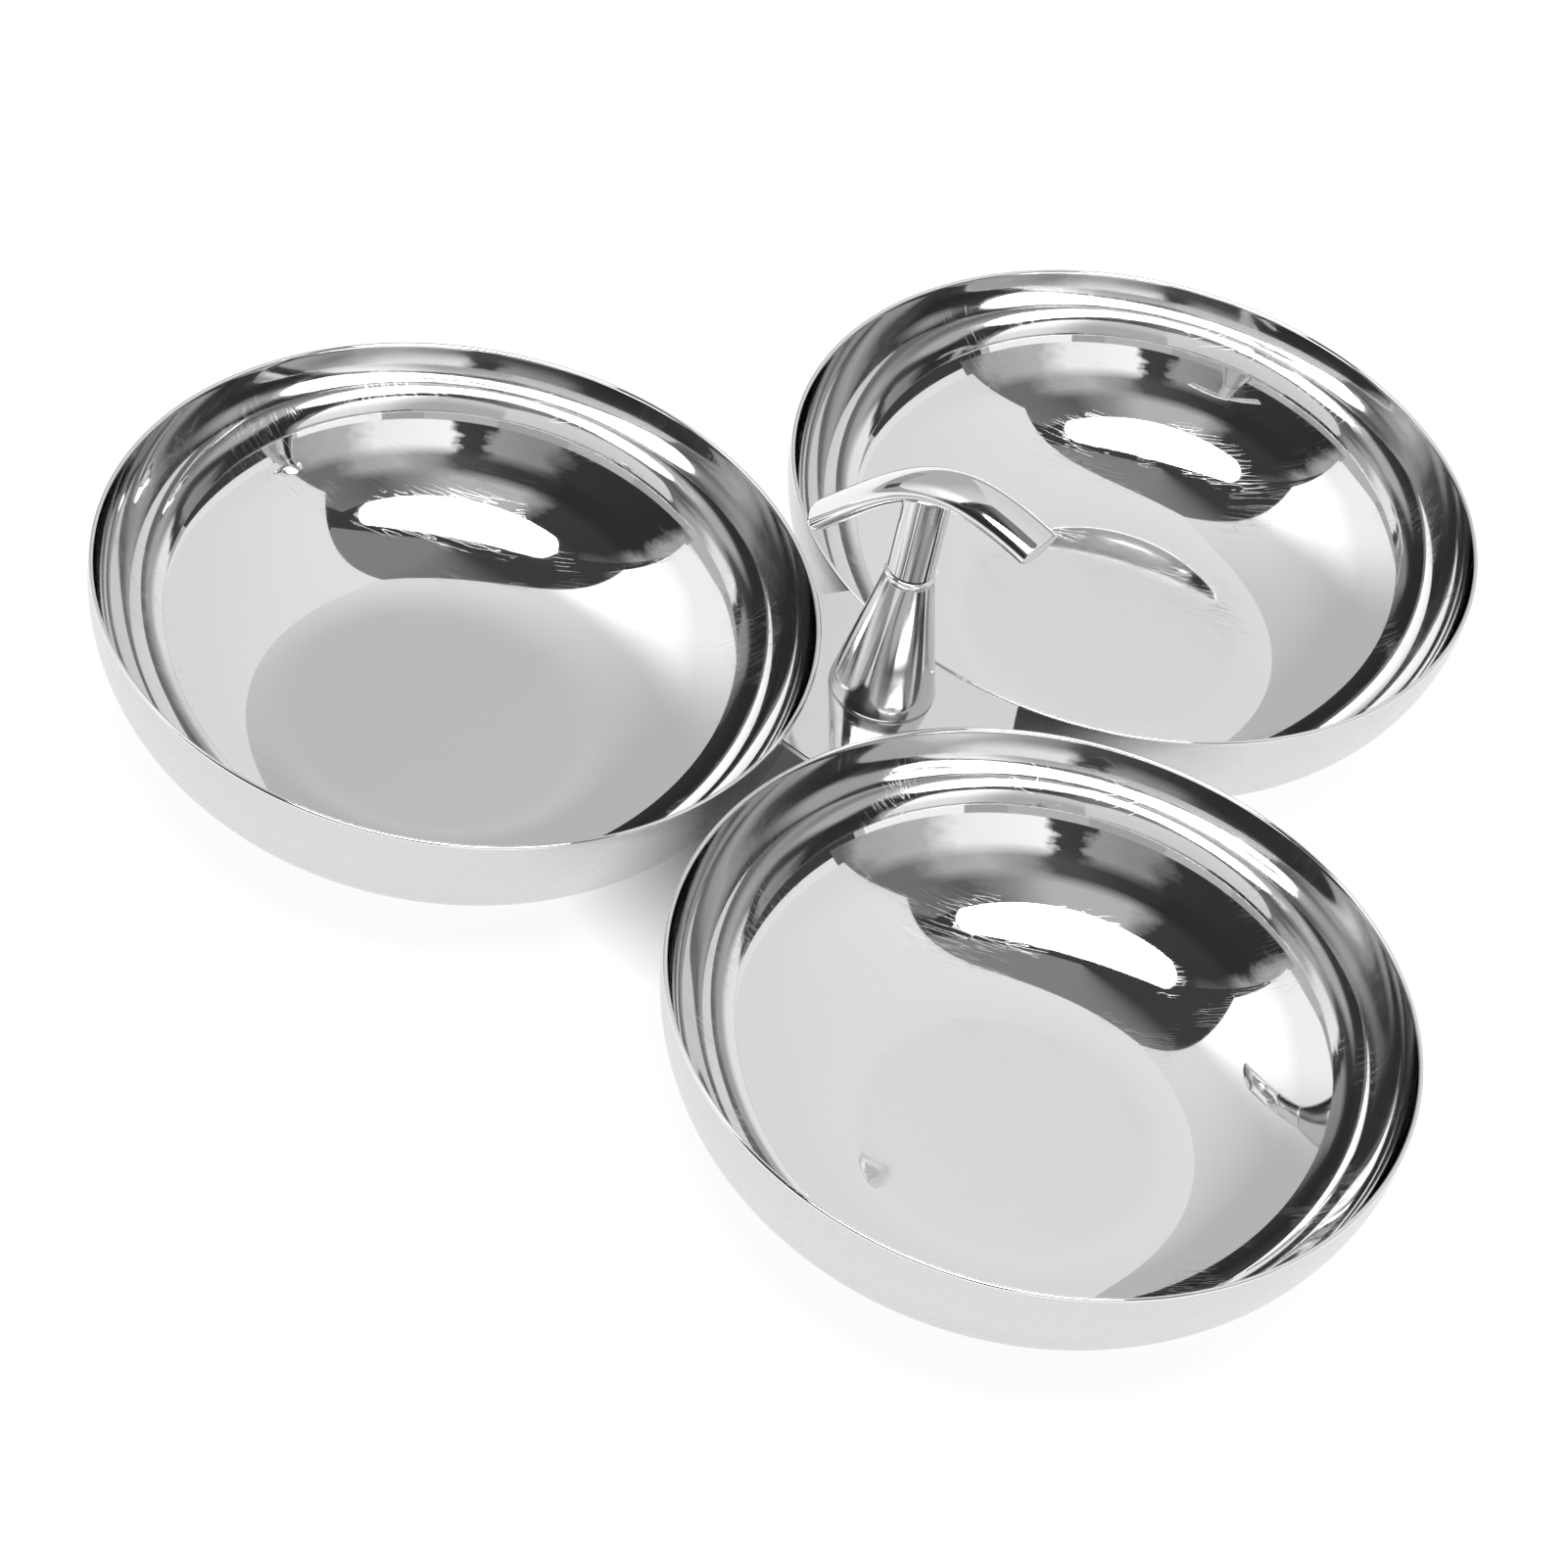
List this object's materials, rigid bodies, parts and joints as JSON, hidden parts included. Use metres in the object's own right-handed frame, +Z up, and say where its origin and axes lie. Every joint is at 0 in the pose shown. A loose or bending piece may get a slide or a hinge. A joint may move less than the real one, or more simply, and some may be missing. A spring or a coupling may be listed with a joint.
{
  "type": "serving dish",
  "caption": "Polished steel serving dish: round bowls joined by a flat hub plate, with a conical centre post and a bent bar handle.",
  "frame": {"origin": "middle of the footprint box, on the table plane under the bowls", "axes": "+Z up along the centre post, +X from the left bowl past the post to the gap between the other two, +Y from the front bowl to the rear bowl"},
  "size_m": [0.3018, 0.3238, 0.1085],
  "materials": {
    "mirror_steel": "mirror polished stainless steel with fine polishing scratches; the outsides of the bowls are satin",
    "plain_steel": "plain machined steel",
    "solder": "dull silver solder"
  },
  "bodies": {
    "root": {"bowl_left": "mirror_steel", "bowl_rear": "mirror_steel", "bowl_front": "mirror_steel", "hub_plate": "mirror_steel", "solder_seam_left": "solder", "solder_seam_rear": "solder", "solder_seam_front": "solder", "post_cone": "mirror_steel", "post_collar": "mirror_steel", "post_neck": "mirror_steel", "handle_bar": "mirror_steel", "tie_stud": "plain_steel", "washer": "plain_steel", "domed_nut": "plain_steel"}
  },
  "joints": []
}
